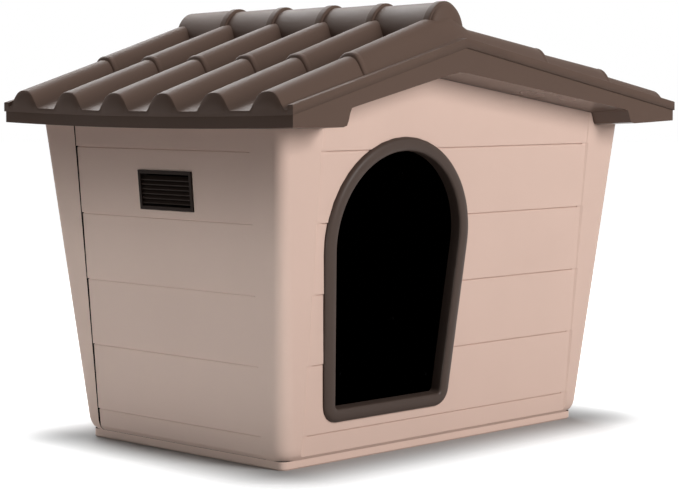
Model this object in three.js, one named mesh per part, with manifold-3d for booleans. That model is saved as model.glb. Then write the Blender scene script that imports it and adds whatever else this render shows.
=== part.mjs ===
// A flat-pack plastic dog house: a beige tub of four plank-patterned walls on a floor tray,
// and a brown lift-off roof of moulded tile courses on an under-frame.
// Millimetres, +Z up. The origin is under the middle of the roof's outline, on the ground.
// The door is in the front wall, which faces -Y, and the ridge runs along Y.
import * as THREE from "three";
import { mergeVertices } from "three/addons/utils/BufferGeometryUtils.js";
import Module from "manifold-3d";

// ---- Driving dimensions ----

// The tub of the four walls, at the height of the ground before it flares
const bodyHalfWidth = 233.3;
const bodyHalfDepth = 153.8;
const flare = 0.094; // how far each wall leans out for each millimetre of height
const cornerRadiusLow = 18;
const cornerRadiusHigh = 12;
const panelRecess = 2; // how far the plank panels lie behind the corner posts
const panelWall = 3;
const plankLap = 1.2; // how far each plank's lower edge stands proud of the next
const plankPitch = 70.3;
const firstPlankEdge = 33.4;
const plankEdges = 5;
const plankGroove = 1; // the depth of the groove under each lap
const plankGrooveHeight = 1.3;
const plankGrooveEnd = 6; // the end walls' grooves end this far short of the posts
const postFlank = 3.5; // how far each post's edge slopes down to the planks
const curlHeight = 13.2; // the bottom of each wall curls in over this height
const curlDepth = 6;
const footHeight = 36; // up to here the walls are thicker, for the floor screws
const footThickening = 2;
const postWidth = 26.3; // each corner post on the front and the rear wall
const frontPostDepth = 28.9; // how far the front wall wraps round onto the sides, at the ground
const frontPostSpread = 0.049;
const rearPostDepth = 24.7;
const rearPostSpread = 0.094;
const seamGap = 0.3;
const seatGap = 0.2;

// The laps and screws that join the side walls to the corner posts
const lapWall = 3;
const lapReach = 14;
const lapRoot = 12;
const lapLow = 40;
const lapTopDrop = 18.3; // below the side walls' tops
const cornerScrewLow = 90; // the height of each corner's lower screw
const cornerScrewDrop = 66.3; // from the side walls' tops to each corner's upper screw
const cornerScrewInset = 7;

// The floor tray
const flangeInset = 5; // the tray's edge lies inside the walls' outer planes at the ground
const trayHeight = 8.8;
const trayRadius = 8;
const trayChamfer = 1.5; // along the tray's lower edge
const traySkirt = 3.5;
const floorThickness = 3.3;
const trayRib = 3;
const trayRibsAcross = 3;
const trayRibsAlong = 5;
const upstandHeight = 24;
const upstandWall = 3;
const upstandClearance = 0.8;
const floorScrewHeight = 27.5;
const floorScrewInset = 80; // from the corners

// Screws: shanks run in pilot holes
const screwHeadRadius = 4;
const screwHeadHeight = 2.2;
const screwShankRadius = 1.5;
const screwBite = 3.2; // how deep a wall screw goes into the second piece
const holeClearance = 0.3;
const screwSides = 8;

// The doorway and its trim ring, on the front wall
const doorInset = 143.1; // from the left wall to the doorway's middle
const doorArchRadius = 91;
const doorArchHeight = 222.5;
const doorSill = 56.5;
const doorTaper = 0.082;
const doorCornerRadius = 5;
const ringWidth = 14;
const ringProud = 6;
const sleeveWall = 2.5;
const sleeveDepth = 8;
const sleeveClearance = 0.4;
const barbLength = 22;
const barbProud = 1.4;
const barbThickness = 2;
const sideBarbSpread = 50; // from the middle of each side of the doorway
const sillBarbSpread = 45; // from the middle of the sill

// The louvred vents, one on each side wall
const ventWidth = 81.4;
const ventHeight = 40.3;
const ventShift = -10.2; // from the middle of the wall, towards the front
const ventDrop = 66.7; // from the eave down to the middle of each vent
const ventRim = 3.6;
const ventProud = 2.2;
const ventSleeveWall = 1.6;
const ventSleeveDepth = 7;
const slatCount = 6;
const slatThickness = 1.5;
const slatDepth = 6.4;
const slatTilt = THREE.MathUtils.degToRad(35);

// The roof: its outline, and the gable, whose peak is left of the middle
const eaveOverhangLeft = 27.3; // beyond the walls, at the height of the soffit
const eaveOverhangRight = 42.9;
const gableOverhangFront = 44;
const gableOverhangRear = 28.2;
const peakX = -56.5;
const rimEaveRise = 21.2; // the rises are heights above the under-frame's lower edge at the eaves
const rimPeakRise = 86.2;
const valleyEaveRise = 16.7;
const valleyPeakRise = 86.1;
const bandHeight = 9.7; // the tile shell's edge band, between the rim and the under-frame
const bandInset = 1.4; // how far the under-frame lies inside that band
const roofWall = 3;
const rimWidth = 7.5;

// Tile columns, and the courses that overlap down each slope
const columnCount = 6;
const edgeColumnInset = 34.9; // from each gable edge to the middle of the nearest column
const tileHalfWidthLow = 24.5;
const tileHalfWidthHigh = 22.5;
const tileOverlap = 7;
const tileNose = 2.5;
const tileNoseDrop = 1.6;
const eaveNose = 1;
const eaveNoseDrop = 0.6;
const leftEaveCourse = 108; // the length of each course, across the roof
const rightEaveCourse = 98;
const rightMiddleCourse = 109;
const riseLeftEave = [17.8, 19.6]; // the height of each course's columns, at its low and high end
const riseLeftTop = [22.6, 26.3];
const riseRightEave = [17.5, 15.8];
const riseRightMiddle = [21.5, 16.8];
const riseRightTop = [21.1, 15.4];
const columnProfile = [
  [1, 0],
  [0.88, 0.1],
  [0.74, 0.42],
  [0.58, 0.72],
  [0.36, 0.92],
  [0, 1],
];

// The ridge cap: five tapered half-barrels with collars, and a blunt dome at each end
const ridgeAxisRise = 89.7;
const ridgeRadiusSmall = 31.2;
const ridgeRadiusLarge = 33.1;
const collarRadius = 34.1;
const ridgeNarrow = 0.78; // its half width over its height above the axis
const collarLength = 10;
const collarStep = 1.5;
const domeInset = 29.5; // from each gable edge to where a dome begins
const domeLength = 6;
const domeFullness = 2.6; // fuller than an ellipse, which has 2
const domeRings = 5;

// The under-frame: fascia, soffit and the lip that locates it inside the walls
const eaveHeight = 338.8;
const soffitDrop = 4.8; // how far the soffit sinks from the gables to the end walls
const flatDrop = 2.2; // and how far its flats at the eaves sink
const fasciaDrop = 0.5;
const eaveFlatLeft = 66;
const eaveFlatRight = 72;
const eaveFlatSink = 2; // how far the right flat sinks from the edge to the shoulder
const shoulderWidthLeft = 17;
const shoulderWidthRight = 19;
const shoulderLeftRise = 19.4;
const shoulderRightRise = 13.8;
const shoulderPinch = 11; // the shoulders lie this much nearer the middle along the walls
const shoulderCurve = [
  [0, 0],
  [0.3, 0.07],
  [0.43, 0.3],
  [0.57, 0.7],
  [0.7, 0.93],
  [1, 1],
];
const soffitPeakShift = -9.5; // from the roof's peak
const soffitPeakRise = 53.3;
const soffitPeakRound = 13;
const frameWall = 3;
const lipDepth = 9;
const lipWall = 3;
const lipClearance = 1.5;
const roofSeatGap = 0.3;
const roofScrewInset = 15;
const roofScrewEndInset = 71.5;
const bossRadius = 5;
const bossGap = 1.5;
const roofScrewLength = 14;
const headSeat = 3.4; // how far above the walls' top the heads sit
const seatRadius = 5;
const seatWall = 2.5;

const sliver = 0.01; // the largest detail that may be smoothed away
const cutReach = 30; // how far the planks' cut runs out past the walls

const beige = new THREE.MeshStandardMaterial({ color: 0xd2b8a8, roughness: 0.55, metalness: 0 });
const brown = new THREE.MeshStandardMaterial({ color: 0x66544a, roughness: 0.5, metalness: 0 });
const darkBrown = new THREE.MeshStandardMaterial({ color: 0x4a3a32, roughness: 0.5, metalness: 0 });
const steel = new THREE.MeshStandardMaterial({ color: 0x1e1e1e, roughness: 0.4, metalness: 1 });

// ---- Derived sizes ----

const innerInset = panelRecess + panelWall;
const wallBase = trayHeight + seatGap;
const soffitLow = eaveHeight - flatDrop;
const wallTop = soffitLow - roofSeatGap;
const lapHigh = wallTop - lapTopDrop;
const cornerScrewHeights = [cornerScrewLow, wallTop - cornerScrewDrop];
const ventCentreZ = eaveHeight - ventDrop;
const rimEave = eaveHeight + rimEaveRise;
const rimPeak = eaveHeight + rimPeakRise;
const valleyEave = eaveHeight + valleyEaveRise;
const valleyPeak = eaveHeight + valleyPeakRise;
const ridgeAxisZ = eaveHeight + ridgeAxisRise;
const shoulderLeftZ = eaveHeight + shoulderLeftRise;
const shoulderRightZ = eaveHeight + shoulderRightRise;
const soffitPeakZ = eaveHeight + soffitPeakRise;
const aboveAll = 520;
const farOut = 600;
const topHalfWidth = bodyHalfWidth + flare * soffitLow;
const topHalfDepth = bodyHalfDepth + flare * soffitLow;
const roofHalfWidth = topHalfWidth + (eaveOverhangLeft + eaveOverhangRight) / 2;
const roofHalfDepth = topHalfDepth + (gableOverhangFront + gableOverhangRear) / 2;
const bodyShiftX = (eaveOverhangLeft - eaveOverhangRight) / 2;
const bodyShiftY = (gableOverhangFront - gableOverhangRear) / 2;
const frameHalfWidth = roofHalfWidth - bandInset;
const frameHalfDepth = roofHalfDepth - bandInset;
const soffitPeakX = peakX + soffitPeakShift;
const trayHalfWidth = bodyHalfWidth - flangeInset;
const trayHalfDepth = bodyHalfDepth - flangeInset;
const columnPitch = (2 * (roofHalfDepth - edgeColumnInset)) / (columnCount - 1);
const domeStart = roofHalfDepth - domeInset;

// Each slope's courses, from its eave up to the peak
const leftStep = -roofHalfWidth + leftEaveCourse;
const rightLowStep = roofHalfWidth - rightEaveCourse;
const rightHighStep = rightLowStep - rightMiddleCourse;
const slopes = [
  [
    { low: -roofHalfWidth, high: leftStep, rise: riseLeftEave },
    { low: leftStep, high: peakX, rise: riseLeftTop },
  ],
  [
    { low: roofHalfWidth, high: rightLowStep, rise: riseRightEave },
    { low: rightLowStep, high: rightHighStep, rise: riseRightMiddle },
    { low: rightHighStep, high: peakX, rise: riseRightTop },
  ],
];

// ---- Geometry helpers ----

const wasm = await Module();
wasm.setup();

// The volume that an indexed mesh encloses: negative when its faces point in.
function enclosedVolume(positions, index) {
  const a = new THREE.Vector3();
  const b = new THREE.Vector3();
  const c = new THREE.Vector3();
  let volume = 0;
  for (let i = 0; i < index.length; i += 3) {
    a.fromArray(positions, 3 * index[i]);
    b.fromArray(positions, 3 * index[i + 1]);
    c.fromArray(positions, 3 * index[i + 2]);
    volume += a.dot(b.cross(c)) / 6;
  }
  return volume;
}

// A closed geometry as a solid, with its faces turned to point out.
function solid(geometry) {
  const bare = new THREE.BufferGeometry();
  bare.setAttribute("position", geometry.getAttribute("position"));
  bare.setIndex(geometry.index);
  const merged = mergeVertices(bare, 1e-4);
  const vertProperties = merged.getAttribute("position").array;
  const triVerts = new Uint32Array(merged.index.array);
  if (enclosedVolume(vertProperties, triVerts) < 0) {
    triVerts.reverse();
  }
  return new wasm.Manifold(new wasm.Mesh({ numProp: 3, vertProperties, triVerts }));
}

// A solid as a geometry again, without the slivers that cuts leave behind.
function geometryOf(made) {
  const mesh = made.simplify(sliver).getMesh();
  const geometry = new THREE.BufferGeometry();
  geometry.setAttribute("position", new THREE.BufferAttribute(mesh.vertProperties, 3));
  geometry.setIndex(new THREE.BufferAttribute(mesh.triVerts, 1));
  geometry.computeVertexNormals();
  return geometry;
}

function joined(solids) {
  return solids.reduce((whole, next) => whole.add(next));
}

// The triangles of a flat ring of points, wound the same way as the ring.
function capTriangles(ring) {
  const box = new THREE.Box3().setFromPoints(ring);
  const size = box.getSize(new THREE.Vector3());
  const thin = Math.min(size.x, size.y, size.z);
  const flat = ring.map((p) => {
    if (size.z === thin) {
      return new THREE.Vector2(p.x, p.y);
    }
    return size.y === thin ? new THREE.Vector2(p.x, p.z) : new THREE.Vector2(p.y, p.z);
  });
  const triangles = THREE.ShapeUtils.triangulateShape(flat, []);
  const covered = triangles.reduce(
    (sum, corners) => sum + THREE.ShapeUtils.area(corners.map((corner) => flat[corner])),
    0,
  );
  const same = covered > 0 === THREE.ShapeUtils.area(flat) > 0;
  return triangles.map(([a, b, c]) => (same ? [a, b, c] : [a, c, b]));
}

// A skin over rings of points that all have the same count. It has flat ends, or it closes on itself.
function loft(rings, closed = false) {
  const count = rings[0].length;
  const positions = rings.flat().flatMap((p) => [p.x, p.y, p.z]);
  const index = [];
  const spans = closed ? rings.length : rings.length - 1;
  for (let r = 0; r < spans; r++) {
    const here = r * count;
    const there = ((r + 1) % rings.length) * count;
    for (let i = 0; i < count; i++) {
      const j = (i + 1) % count;
      index.push(here + i, here + j, there + j);
      index.push(here + i, there + j, there + i);
    }
  }
  if (!closed) {
    const last = (rings.length - 1) * count;
    capTriangles(rings[0]).forEach(([a, b, c]) => index.push(a, c, b));
    capTriangles(rings[rings.length - 1]).forEach(([a, b, c]) => index.push(last + a, last + b, last + c));
  }
  const geometry = new THREE.BufferGeometry();
  geometry.setAttribute("position", new THREE.BufferAttribute(new Float32Array(positions), 3));
  geometry.setIndex(index);
  return solid(geometry);
}

// An outline of [across, up] points pushed along X or Y from one place to another.
function prism(outline, axis, from, to) {
  const shape = new THREE.Shape(outline.map(([u, v]) => new THREE.Vector2(u, v)));
  const geometry = new THREE.ExtrudeGeometry(shape, { depth: to - from, bevelEnabled: false });
  const up = new THREE.Vector3(0, 0, 1);
  if (axis === "x") {
    geometry.applyMatrix4(
      new THREE.Matrix4().makeBasis(new THREE.Vector3(0, 1, 0), up, new THREE.Vector3(1, 0, 0)),
    );
    geometry.translate(from, 0, 0);
  } else {
    geometry.applyMatrix4(
      new THREE.Matrix4().makeBasis(new THREE.Vector3(1, 0, 0), up, new THREE.Vector3(0, -1, 0)),
    );
    geometry.translate(0, to, 0);
  }
  return solid(geometry);
}

// A box between two corners.
function block(x0, x1, y0, y1, z0, z1) {
  const geometry = new THREE.BoxGeometry(x1 - x0, y1 - y0, z1 - z0);
  geometry.translate((x0 + x1) / 2, (y0 + y1) / 2, (z0 + z1) / 2);
  return solid(geometry);
}

// A rounded rectangle as a ring of points at one height.
function roundedRing(x0, x1, y0, y1, radius, z) {
  const steps = 4;
  const corners = [
    [x1 - radius, y1 - radius],
    [x0 + radius, y1 - radius],
    [x0 + radius, y0 + radius],
    [x1 - radius, y0 + radius],
  ];
  return corners.flatMap(([cx, cy], quarter) =>
    Array.from({ length: steps + 1 }, (_, i) => {
      const angle = ((quarter + i / steps) * Math.PI) / 2;
      return new THREE.Vector3(cx + radius * Math.cos(angle), cy + radius * Math.sin(angle), z);
    }),
  );
}

// ---- The tub ----

// How far the bottom of the walls curls in at a height.
function curlAt(z) {
  const share = Math.min(1, Math.max(0, (wallBase + curlHeight - z) / curlHeight));
  return curlDepth * (1 - Math.sqrt(1 - 0.97 * share * share));
}

// The tub's outline at a height, drawn in by an inset.
function bodyRing(z, inset) {
  const out = flare * z - inset - curlAt(z);
  const radius = cornerRadiusLow + ((cornerRadiusHigh - cornerRadiusLow) * z) / wallTop - inset;
  return roundedRing(
    bodyShiftX - bodyHalfWidth - out,
    bodyShiftX + bodyHalfWidth + out,
    bodyShiftY - bodyHalfDepth - out,
    bodyShiftY + bodyHalfDepth + out,
    Math.max(1.5, radius),
    z,
  );
}

// The tub as a filled solid between two heights.
function tub(inset, low, high) {
  const curlTop = wallBase + curlHeight;
  const heights = [low, high];
  [0.25, 0.5, 0.8, 1].forEach((share) => {
    const z = wallBase + curlHeight * share;
    if (z > low && z <= curlTop && z < high) {
      heights.push(z);
    }
  });
  heights.sort((a, b) => a - b);
  return loft(heights.map((z) => bodyRing(z, inset)));
}

// A shell between two insets of the tub. The inner cut runs past both ends.
function tubShell(outerInset, innerInsetHere, low, high) {
  return tub(outerInset, low, high).subtract(tub(innerInsetHere, low - 1, high + 1));
}

// The tub's wall all round, from its foot up, with a thicker foot.
function wallShell(outerInset) {
  const shell = tubShell(outerInset, innerInset, wallBase, aboveAll);
  return shell.add(tubShell(outerInset, innerInset + footThickening, wallBase, footHeight));
}

// The four outer faces: where each is at a height, and its own right, up and outward directions.
const lean = Math.hypot(1, flare);
const faces = {
  front: {
    place: (z) => bodyShiftY - bodyHalfDepth - flare * z,
    inward: 1,
    right: new THREE.Vector3(1, 0, 0),
    up: new THREE.Vector3(0, -flare / lean, 1 / lean),
    out: new THREE.Vector3(0, -1 / lean, -flare / lean),
    foot: new THREE.Vector3(0, bodyShiftY - bodyHalfDepth, 0),
  },
  rear: {
    place: (z) => bodyShiftY + bodyHalfDepth + flare * z,
    inward: -1,
    right: new THREE.Vector3(-1, 0, 0),
    up: new THREE.Vector3(0, flare / lean, 1 / lean),
    out: new THREE.Vector3(0, 1 / lean, -flare / lean),
    foot: new THREE.Vector3(0, bodyShiftY + bodyHalfDepth, 0),
  },
  left: {
    place: (z) => bodyShiftX - bodyHalfWidth - flare * z,
    inward: 1,
    right: new THREE.Vector3(0, -1, 0),
    up: new THREE.Vector3(-flare / lean, 0, 1 / lean),
    out: new THREE.Vector3(-1 / lean, 0, -flare / lean),
    foot: new THREE.Vector3(bodyShiftX - bodyHalfWidth, 0, 0),
  },
  right: {
    place: (z) => bodyShiftX + bodyHalfWidth + flare * z,
    inward: -1,
    right: new THREE.Vector3(0, 1, 0),
    up: new THREE.Vector3(flare / lean, 0, 1 / lean),
    out: new THREE.Vector3(1 / lean, 0, -flare / lean),
    foot: new THREE.Vector3(bodyShiftX + bodyHalfWidth, 0, 0),
  },
};

// The matrix from a face's own frame (right, up, out) to the part's frame. The origin of the face's
// frame is at a place along the wall, at a height, and at a depth behind the outer face.
function faceMatrix(face, along, height, depth) {
  const origin = face.foot.clone();
  origin.addScaledVector(face.right, along);
  origin.addScaledVector(face.up, height * lean);
  origin.addScaledVector(face.out, -depth);
  return new THREE.Matrix4().makeBasis(face.right, face.up, face.out).setPosition(origin);
}

function placed(geometry, matrix) {
  return solid(geometry.clone().applyMatrix4(matrix));
}

// A solid between places along X or Y, from an outline of [height, depth behind the face] at each.
function faceLoft(face, axis, sections) {
  const rings = sections.map(([along, outline]) =>
    outline.map(([z, depth]) => {
      const across = face.place(z) + face.inward * depth;
      return axis === "x" ? new THREE.Vector3(along, across, z) : new THREE.Vector3(across, along, z);
    }),
  );
  return loft(rings);
}

// What the plank panels remove from a face: a saw-tooth of laps, deepest under each lower edge,
// that rises to the posts over a sloping flank at both ends.
function plankCut(face, axis, from, to, flank) {
  const edges = [0];
  for (let i = 0; i < plankEdges; i++) {
    edges.push(firstPlankEdge + i * plankPitch);
  }
  edges.push(aboveAll);
  const panel = [];
  for (let i = 0; i < edges.length - 1; i++) {
    const low = i === 0 ? panelRecess : panelRecess - plankLap;
    const top = Math.min(edges[i + 1], edges[i] + plankPitch);
    panel.push([edges[i], low]);
    panel.push([top, panelRecess]);
    if (edges[i + 1] - top > sliver) {
      panel.push([edges[i + 1], panelRecess]);
    }
  }
  const outline = (lift) => {
    const lifted = panel.map(([z, depth]) => [z, depth - lift]);
    return [[0, -cutReach], ...lifted, [aboveAll, -cutReach]];
  };
  const sections = [
    [from, outline(0)],
    [to, outline(0)],
  ];
  if (flank > 0) {
    const clear = panelRecess + seatGap;
    sections.unshift([from - flank, outline(clear)]);
    sections.push([to + flank, outline(clear)]);
  }
  return faceLoft(face, axis, sections);
}

// The narrow groove under each plank's lower edge.
function plankGrooves(face, axis, from, to) {
  const grooves = [];
  for (let i = 0; i < plankEdges; i++) {
    const z = firstPlankEdge + i * plankPitch;
    const outline = [
      [z - plankGrooveHeight, panelRecess - plankLap],
      [z - plankGrooveHeight, panelRecess + plankGroove],
      [z, panelRecess + plankGroove],
      [z, panelRecess - plankLap],
    ];
    grooves.push(
      faceLoft(face, axis, [
        [from, outline],
        [to, outline],
      ]),
    );
  }
  return joined(grooves);
}

// Where the front and rear walls' posts end and the side walls begin.
function frontSeam(z) {
  return faces.front.place(z) + frontPostDepth + frontPostSpread * z;
}

function rearSeam(z) {
  return faces.rear.place(z) - rearPostDepth - rearPostSpread * z;
}

// Everything in front of the front seam moved by a shift, or behind the rear one.
function beforeFrontSeam(shift) {
  const outline = [
    [-farOut, -20],
    [frontSeam(-20) + shift, -20],
    [frontSeam(aboveAll) + shift, aboveAll],
    [-farOut, aboveAll],
  ];
  return prism(outline, "x", -farOut, farOut);
}

function behindRearSeam(shift) {
  const outline = [
    [rearSeam(-20) + shift, -20],
    [farOut, -20],
    [farOut, aboveAll],
    [rearSeam(aboveAll) + shift, aboveAll],
  ];
  return prism(outline, "x", -farOut, farOut);
}

// ---- The under-frame's lower outline, which the gable walls also follow ----

// From the left eave to the right eave, sunk by a drop where it meets the walls.
function soffitOutline(drop) {
  const leftFlat = faces.left.place(wallTop) - lipClearance;
  const rightFlat = faces.right.place(wallTop) + lipClearance;
  const leftTop = -frameHalfWidth + eaveFlatLeft + shoulderWidthLeft;
  const rightTop = frameHalfWidth - eaveFlatRight - shoulderWidthRight;
  const leftSlope = (soffitPeakZ - shoulderLeftZ) / (soffitPeakX - leftTop);
  const rightSlope = (soffitPeakZ - shoulderRightZ) / (rightTop - soffitPeakX);
  const share = (drop - fasciaDrop) / (soffitDrop - fasciaDrop);
  const pinch = shoulderPinch * share;
  const leftLow = eaveHeight - fasciaDrop - (flatDrop - fasciaDrop) * share;
  const rightLow = leftLow - eaveFlatSink;
  const leftRise = shoulderLeftZ + leftSlope * pinch - drop - leftLow;
  const rightRise = shoulderRightZ + rightSlope * pinch - drop - rightLow;
  const left = shoulderCurve.map(([across, up]) => [
    leftTop + pinch - shoulderWidthLeft * (1 - across),
    leftLow + leftRise * up,
  ]);
  const right = shoulderCurve.map(([across, up]) => [
    rightTop - pinch + shoulderWidthRight * (1 - across),
    rightLow + rightRise * up,
  ]);
  return [
    [-frameHalfWidth, eaveHeight],
    [leftFlat, leftLow],
    ...left,
    [soffitPeakX - soffitPeakRound, soffitPeakZ - leftSlope * soffitPeakRound - drop],
    [soffitPeakX, soffitPeakZ - (leftSlope * soffitPeakRound) / 3 - drop],
    [soffitPeakX + soffitPeakRound, soffitPeakZ - rightSlope * soffitPeakRound - drop],
    ...right.reverse(),
    [rightFlat, leftLow - eaveFlatSink / 2],
    [frameHalfWidth, eaveHeight],
  ];
}

// Everything below the seat of the roof, which trims the tops of the four walls.
function underRoof() {
  const top = soffitOutline(soffitDrop).map(([x, z]) => [x, z - roofSeatGap]);
  const outline = [...top, [farOut, eaveHeight], [farOut, -20], [-farOut, -20], [-farOut, eaveHeight]];
  return prism(outline, "y", -farOut, farOut);
}

// ---- Screws ----

// A pan-head screw that points down from its seat at the origin.
function screwGeometry(length) {
  const profile = [
    new THREE.Vector2(0, -length),
    new THREE.Vector2(screwShankRadius * 0.5, -length),
    new THREE.Vector2(screwShankRadius, -length + screwShankRadius),
    new THREE.Vector2(screwShankRadius, 0),
    new THREE.Vector2(screwHeadRadius, 0),
    new THREE.Vector2(screwHeadRadius, screwHeadHeight * 0.5),
    new THREE.Vector2(screwHeadRadius * 0.7, screwHeadHeight),
    new THREE.Vector2(0, screwHeadHeight),
  ];
  const geometry = new THREE.LatheGeometry(profile, screwSides);
  geometry.rotateX(Math.PI / 2);
  return geometry;
}

// The hole that a screw's shank runs in, from above its seat to past its tip.
function pilotGeometry(length) {
  const radius = screwShankRadius + holeClearance;
  const geometry = new THREE.CylinderGeometry(radius, radius, length + 1 + holeClearance, screwSides);
  geometry.rotateX(Math.PI / 2);
  geometry.translate(0, 0, (1 - length - holeClearance) / 2);
  return geometry;
}

// Turns a face's frame round, so that a screw's head is inside the house and its tip points out.
function fromInside(matrix) {
  return matrix.clone().multiply(new THREE.Matrix4().makeRotationY(Math.PI));
}

const cornerScrewLength = lapWall + seamGap + screwBite;
const floorScrewLength = upstandWall + upstandClearance + screwBite;

// Each corner has two screws, through the side wall's lap into the post.
const cornerScrews = [];
for (const side of ["left", "right"]) {
  for (const end of ["front", "rear"]) {
    cornerScrewHeights.forEach((z, i) => {
      const y = end === "front" ? frontSeam(z) - cornerScrewInset : rearSeam(z) + cornerScrewInset;
      const face = faces[side];
      const depth = innerInset + seamGap + lapWall;
      cornerScrews.push({
        name: `corner_screw_${end}_${side}_${i + 1}`,
        side,
        end,
        matrix: fromInside(faceMatrix(face, y * face.right.y, z, depth)),
      });
    });
  }
}

// Two screws go through each side of the tray's upstand into the foot of its wall.
const floorScrews = [];
for (const side of ["front", "rear", "left", "right"]) {
  const face = faces[side];
  const isEnd = side === "front" || side === "rear";
  const middle = isEnd ? bodyShiftX * face.right.x : bodyShiftY * face.right.y;
  const spread = (isEnd ? bodyHalfWidth : bodyHalfDepth) - floorScrewInset;
  const depth = innerInset + footThickening + upstandClearance + upstandWall;
  [-1, 1].forEach((way, i) => {
    floorScrews.push({
      name: `floor_screw_${side}_${i + 1}`,
      side,
      matrix: fromInside(faceMatrix(face, middle + way * spread, floorScrewHeight, depth)),
    });
  });
}

function pilots(screws, length) {
  return joined(screws.map((screw) => placed(pilotGeometry(length), screw.matrix)));
}

// ---- Floor tray ----

function floorTray() {
  const ring = (inset, z) =>
    roundedRing(
      bodyShiftX - trayHalfWidth + inset,
      bodyShiftX + trayHalfWidth - inset,
      bodyShiftY - trayHalfDepth + inset,
      bodyShiftY + trayHalfDepth - inset,
      trayRadius - inset,
      z,
    );
  const underside = trayHeight - floorThickness;
  let tray = loft([ring(trayChamfer, 0), ring(0, trayChamfer), ring(0, trayHeight)]);
  tray = tray.subtract(loft([ring(traySkirt, -1), ring(traySkirt, underside)]));
  for (let i = 0; i < trayRibsAcross; i++) {
    const y = bodyShiftY + trayHalfDepth * ((2 * (i + 1)) / (trayRibsAcross + 1) - 1);
    const reach = trayHalfWidth - traySkirt / 2;
    const x0 = bodyShiftX - reach;
    const x1 = bodyShiftX + reach;
    tray = tray.add(block(x0, x1, y - trayRib / 2, y + trayRib / 2, 0, trayHeight - 1));
  }
  for (let i = 0; i < trayRibsAlong; i++) {
    const x = bodyShiftX + trayHalfWidth * ((2 * (i + 1)) / (trayRibsAlong + 1) - 1);
    const reach = trayHalfDepth - traySkirt / 2;
    const y0 = bodyShiftY - reach;
    const y1 = bodyShiftY + reach;
    tray = tray.add(block(x - trayRib / 2, x + trayRib / 2, y0, y1, 0, trayHeight - 1));
  }
  const inner = innerInset + footThickening + upstandClearance;
  const root = trayHeight - 0.5;
  tray = tray.add(tubShell(inner, inner + upstandWall, root, trayHeight + upstandHeight));
  return tray.subtract(pilots(floorScrews, floorScrewLength));
}

// ---- Door trim ----

// Half of the doorway's outline, from the top of the arch down to the middle of the sill, grown
// outwards by an offset. The sides are tangent to the arch and lean in towards the sill.
function doorHalf(offset) {
  const angle = Math.atan(doorTaper);
  const radius = doorArchRadius + offset;
  const sill = doorSill - offset;
  const corner = doorCornerRadius + offset;
  const archSteps = 10;
  const cornerSteps = 4;
  const points = [];
  for (let i = 0; i <= archSteps; i++) {
    const turn = Math.PI / 2 - (i / archSteps) * (Math.PI / 2 + angle);
    points.push([radius * Math.cos(turn), doorArchHeight + radius * Math.sin(turn)]);
  }
  const [startX, startZ] = points[points.length - 1];
  const sideX = (z) => startX - doorTaper * (startZ - z);
  const centreX = sideX(sill + corner) - corner / Math.cos(angle);
  for (let i = 0; i <= cornerSteps; i++) {
    const turn = -angle - (i / cornerSteps) * (Math.PI / 2 - angle);
    points.push([centreX + corner * Math.cos(turn), sill + corner + corner * Math.sin(turn)]);
  }
  return points;
}

function doorOutline(offset) {
  const half = doorHalf(offset);
  const mirrored = half.slice(1).reverse();
  return [...half, ...mirrored.map(([x, z]) => [-x, z])];
}

const doorMatrix = faceMatrix(faces.front, bodyShiftX - bodyHalfWidth + doorInset, 0, panelRecess);

// A plug of the doorway's outline in the front face's frame.
function doorPlug(offset, behind, before) {
  const shape = new THREE.Shape(doorOutline(offset).map(([x, z]) => new THREE.Vector2(x, z)));
  const geometry = new THREE.ExtrudeGeometry(shape, { depth: before - behind, bevelEnabled: false });
  geometry.translate(0, 0, behind);
  return placed(geometry, doorMatrix);
}

function doorFrame() {
  const section = [
    [0, -sleeveDepth],
    [0, ringProud * 0.6],
    [ringWidth * 0.12, ringProud * 0.9],
    [ringWidth * 0.35, ringProud],
    [ringWidth * 0.65, ringProud],
    [ringWidth * 0.9, ringProud * 0.8],
    [ringWidth, ringProud * 0.4],
    [ringWidth, seatGap],
    [sleeveWall, seatGap],
    [sleeveWall, -sleeveDepth],
  ];
  const loops = section.map(([offset, height]) =>
    doorOutline(offset).map(([x, z]) => new THREE.Vector3(x, z, height).applyMatrix4(doorMatrix)),
  );
  let ring = loft(loops, true);
  // Barbs on the sleeve hook behind the wall.
  const back = -panelWall - seatGap - barbThickness;
  const angle = Math.atan(doorTaper);
  const reach = sleeveWall + barbProud;
  const sideMiddle = (doorArchHeight + doorSill) / 2;
  const sideAt = (z) => doorArchRadius * Math.cos(angle) - doorTaper * (doorArchHeight - z);
  for (const z of [sideMiddle - sideBarbSpread, sideMiddle + sideBarbSpread]) {
    for (const way of [-1, 1]) {
      const barb = new THREE.BoxGeometry(reach, barbLength, barbThickness);
      barb.translate(reach / 2 + 0.5, 0, back + barbThickness / 2);
      barb.rotateZ(-angle);
      barb.translate(sideAt(z), z, 0);
      if (way < 0) {
        barb.scale(-1, 1, 1);
      }
      ring = ring.add(placed(barb, doorMatrix));
    }
  }
  for (const x of [-sillBarbSpread, sillBarbSpread]) {
    const barb = new THREE.BoxGeometry(barbLength, reach, barbThickness);
    barb.translate(x, doorSill - reach / 2 - 0.5, back + barbThickness / 2);
    ring = ring.add(placed(barb, doorMatrix));
  }
  return ring;
}

// ---- Vents ----

function ventMatrix(face) {
  return faceMatrix(face, (bodyShiftY + ventShift) * face.right.y, ventCentreZ, panelRecess);
}

function ventBlock(halfWidth, halfHeight, behind, before, face) {
  const geometry = new THREE.BoxGeometry(2 * halfWidth, 2 * halfHeight, before - behind);
  geometry.translate(0, 0, (before + behind) / 2);
  return placed(geometry, ventMatrix(face));
}

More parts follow.
